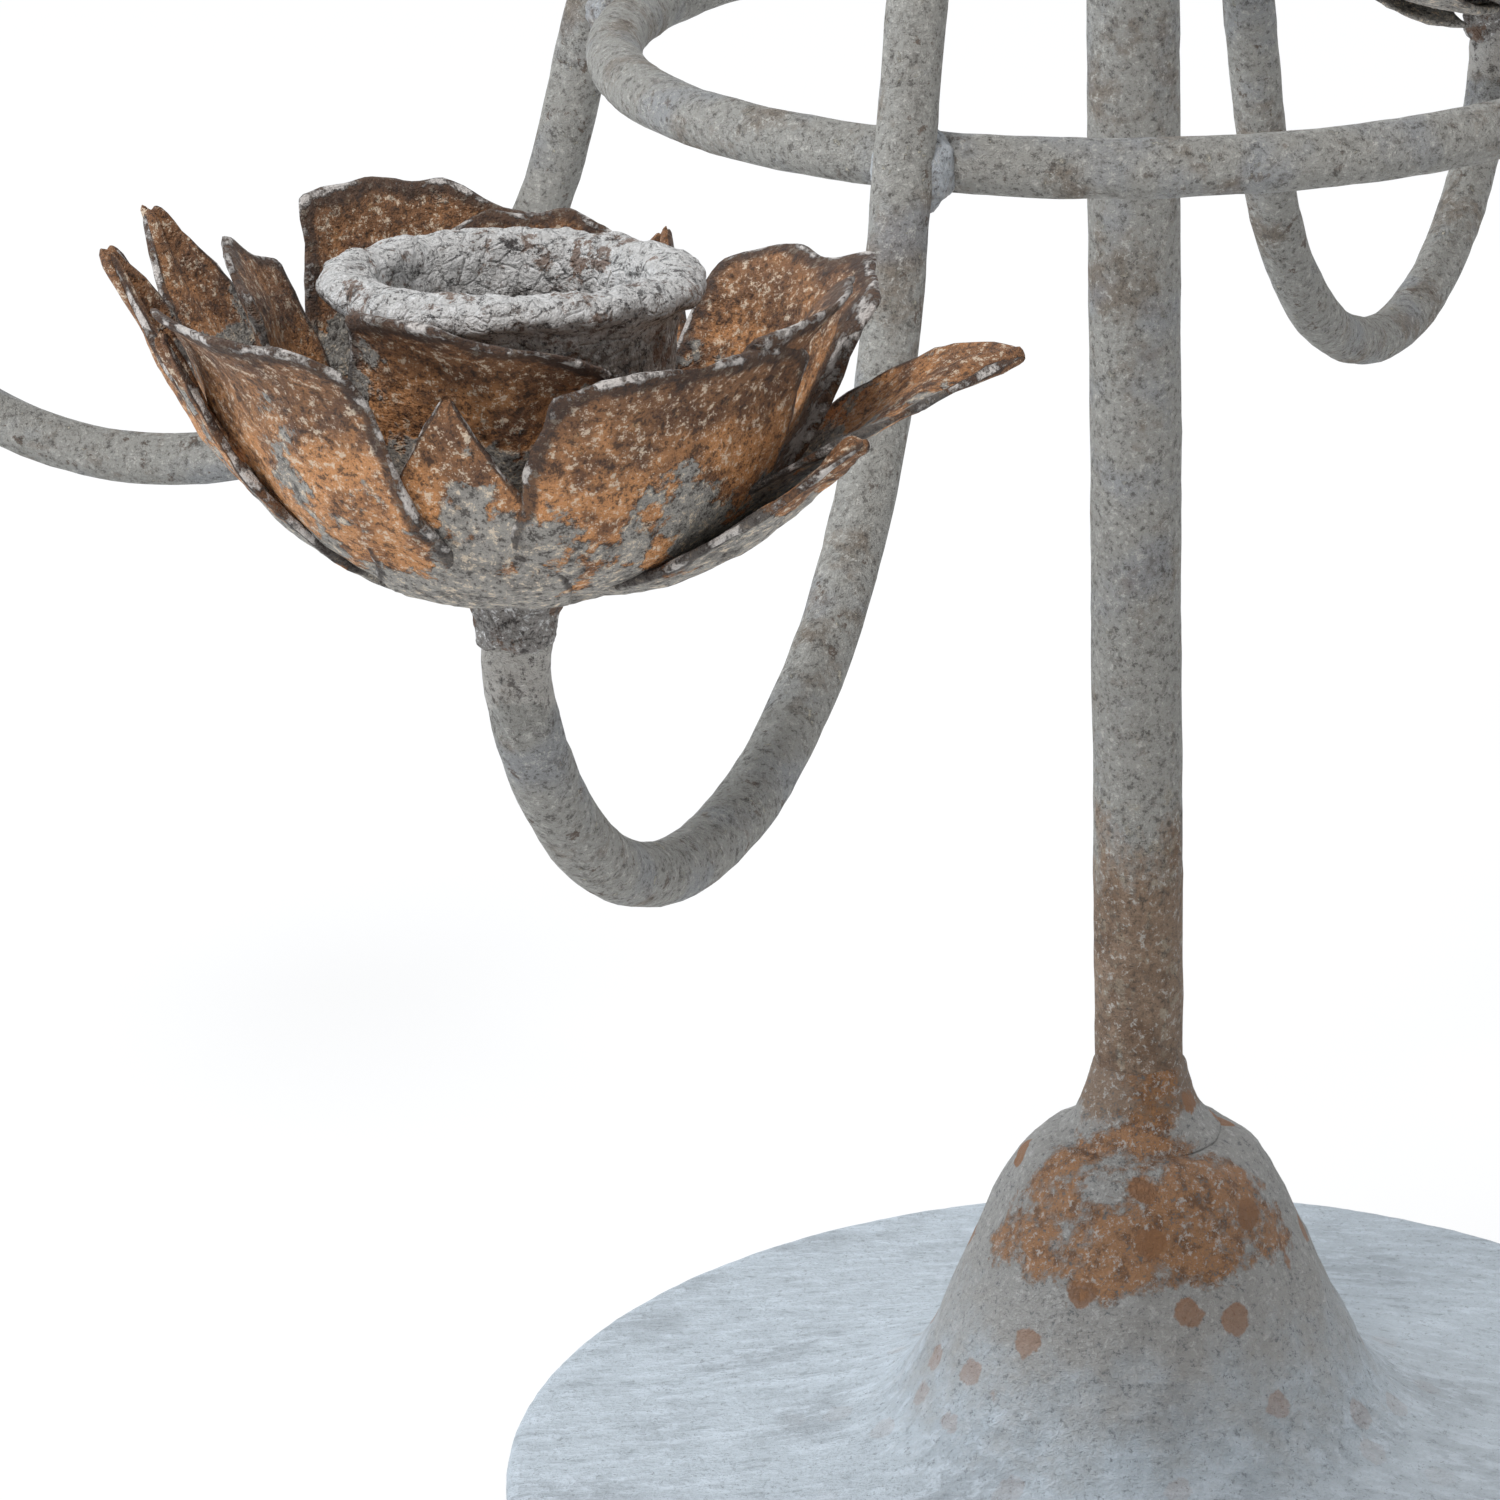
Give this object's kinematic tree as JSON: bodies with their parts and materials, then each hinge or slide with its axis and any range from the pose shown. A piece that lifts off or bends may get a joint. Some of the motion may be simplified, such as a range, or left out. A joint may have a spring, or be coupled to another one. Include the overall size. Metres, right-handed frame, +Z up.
{
  "type": "candlestick",
  "caption": "Standing candlestick: round cast base and stem, curved bar arms welded to a spreader ring, each hooked up into a candle cup inside a sheet-metal flower",
  "frame": {"origin": "middle of the underside of the base felt, on the surface that the candlestick stands on", "axes": "+Z up along the stem, -Y towards the side of the arm that stands in front in the picture, +X to that view's right"},
  "size_m": [0.3941, 0.3865, 0.346],
  "materials": {
    "base_paint": "brushed blue-grey paint, chipped to rust",
    "bar_paint": "chalky grey-beige paint over rust",
    "cup_paint": "cracked off-white paint over rust",
    "petal_rust": "rust brown with worn grey paint",
    "felt": "felt",
    "nut_steel": "plain steel"
  },
  "bodies": {
    "root": {"base_plate": "base_paint", "base_felt": "felt", "base_washer": "nut_steel", "base_nut": "nut_steel", "stem": "bar_paint", "neck_bead": "bar_paint", "spreader_ring": "bar_paint", "top_collar": "bar_paint", "finial": "bar_paint", "arm_front": "bar_paint", "ring_weld_front": "bar_paint", "cup_braze_front": "bar_paint", "calyx_front": "petal_rust", "outer_petals_front": "petal_rust", "inner_petals_front": "petal_rust", "candle_cup_front": "cup_paint", "arm_right": "bar_paint", "ring_weld_right": "bar_paint", "cup_braze_right": "bar_paint", "calyx_right": "petal_rust", "outer_petals_right": "petal_rust", "inner_petals_right": "petal_rust", "candle_cup_right": "cup_paint", "arm_back": "bar_paint", "ring_weld_back": "bar_paint", "cup_braze_back": "bar_paint", "calyx_back": "petal_rust", "outer_petals_back": "petal_rust", "inner_petals_back": "petal_rust", "candle_cup_back": "cup_paint", "arm_left": "bar_paint", "ring_weld_left": "bar_paint", "cup_braze_left": "bar_paint", "calyx_left": "petal_rust", "outer_petals_left": "petal_rust", "inner_petals_left": "petal_rust", "candle_cup_left": "cup_paint"}
  },
  "joints": []
}
